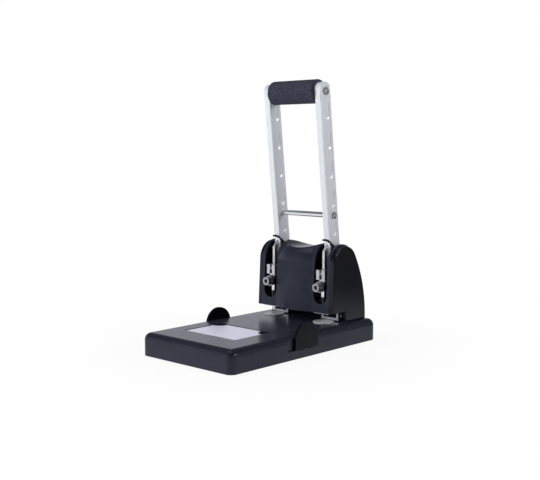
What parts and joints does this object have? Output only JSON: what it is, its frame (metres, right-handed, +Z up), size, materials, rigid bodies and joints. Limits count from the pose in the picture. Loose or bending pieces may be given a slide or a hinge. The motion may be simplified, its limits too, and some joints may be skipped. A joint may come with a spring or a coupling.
{
  "type": "heavy duty hole punch",
  "caption": "Long-lever desk hole punch: upright twin-arm lever over a saddle housing drives punches through paper in a throat, with pull-out side guides and a chip drawer.",
  "frame": {"origin": "centre of the footprint, on the surface that the rubber feet stand on", "axes": "+X to the right across the punch, +Y from the front to the back, +Z up"},
  "size_m": [0.1446, 0.25, 0.3147],
  "materials": {
    "base_plastic": "satin moulded black",
    "cover_plastic": "satin moulded black",
    "cheek_plastic": "satin moulded black",
    "guide_plastic": "fine grain black",
    "drawer_plastic": "fine grain black",
    "label_card": "smooth, bare",
    "foot_rubber": "matt",
    "plate_steel": "semi-matt black",
    "frame_steel": "zinc plated",
    "screw_steel": "zinc plated",
    "tool_steel": "ground",
    "bright_steel": "polished",
    "drive_steel": "bright zinc",
    "axle_steel": "ground",
    "black_steel": "blackened",
    "spring_wire": "blackened wire",
    "arm_metal": "satin cast",
    "bar_chrome": "polished",
    "bush_bronze": "plain bearing",
    "grip_foam": "closed cell foam"
  },
  "bodies": {
    "base": {"base_shell": "base_plastic", "front_cover": "cover_plastic", "rear_cover": "cover_plastic", "cheek_left": "cheek_plastic", "cheek_right": "cheek_plastic", "guide_rail": "drawer_plastic", "label_plate": "label_card", "rubber_feet": "foot_rubber", "bottom_plate": "plate_steel", "frame_left": "frame_steel", "frame_right": "frame_steel", "tie_rod": "frame_steel", "base_screws": "screw_steel", "frame_bolts": "screw_steel", "bridge_screws": "screw_steel", "cover_screws": "screw_steel", "die_left": "tool_steel", "die_right": "tool_steel", "guide_bridge": "tool_steel", "stripper_left": "bright_steel", "stripper_right": "bright_steel", "paper_stop_left": "bright_steel", "paper_stop_right": "bright_steel", "axle": "axle_steel", "axle_rings": "black_steel", "stop_rod": "black_steel"},
    "lever": {"arm_left": "arm_metal", "arm_right": "arm_metal", "drive_plate_left": "drive_steel", "drive_plate_right": "drive_steel", "drive_rivets": "screw_steel", "bush_left": "bush_bronze", "bush_right": "bush_bronze", "grip_rod": "drive_steel", "grip_foam": "grip_foam", "grip_screws": "screw_steel", "cross_bar": "bar_chrome", "cross_bar_screws": "screw_steel", "return_spring_left": "spring_wire", "return_spring_right": "spring_wire"},
    "punch_unit_left": {"fork_left": "drive_steel", "drive_pin_left": "bright_steel", "holder_left": "tool_steel", "clamp_bolt_left": "drive_steel", "punch_left": "bright_steel"},
    "punch_unit_right": {"fork_right": "drive_steel", "drive_pin_right": "bright_steel", "holder_right": "tool_steel", "clamp_bolt_right": "drive_steel", "punch_right": "bright_steel"},
    "paper_guide_left": {"guide_left": "guide_plastic", "slide_bar_left": "drive_steel"},
    "paper_guide_right": {"guide_right": "guide_plastic", "slide_bar_right": "drive_steel"},
    "drawer": {"chip_drawer": "drawer_plastic"}
  },
  "joints": [
    {"name": "lever_hinge", "type": "hinge", "parent": "base", "child": "lever", "pos_m": [0, 0.082, 0.0793], "axis": [1, 0, 0], "range_deg": [0, 36], "stiffness_Nm_per_rad": 0.5, "springref_deg": -40.11},
    {"name": "punch_slide_left", "type": "slide", "parent": "base", "child": "punch_unit_left", "axis": [0, 0, -1], "range_m": [0, 0.01303]},
    {"name": "punch_slide_right", "type": "slide", "parent": "base", "child": "punch_unit_right", "axis": [0, 0, -1], "range_m": [0, 0.01303]},
    {"name": "guide_slide_left", "type": "slide", "parent": "base", "child": "paper_guide_left", "axis": [-1, 0, 0], "range_m": [0, 0.078]},
    {"name": "guide_slide_right", "type": "slide", "parent": "base", "child": "paper_guide_right", "axis": [1, 0, 0], "range_m": [0, 0.078]},
    {"name": "drawer_slide", "type": "slide", "parent": "base", "child": "drawer", "axis": [0, 1, 0], "range_m": [0, 0.08]}
  ],
  "couplings": [
    {"joint": "punch_slide_left", "follows": "lever_hinge", "m_per_rad": 0.020685},
    {"joint": "punch_slide_right", "follows": "lever_hinge", "m_per_rad": 0.020685}
  ]
}
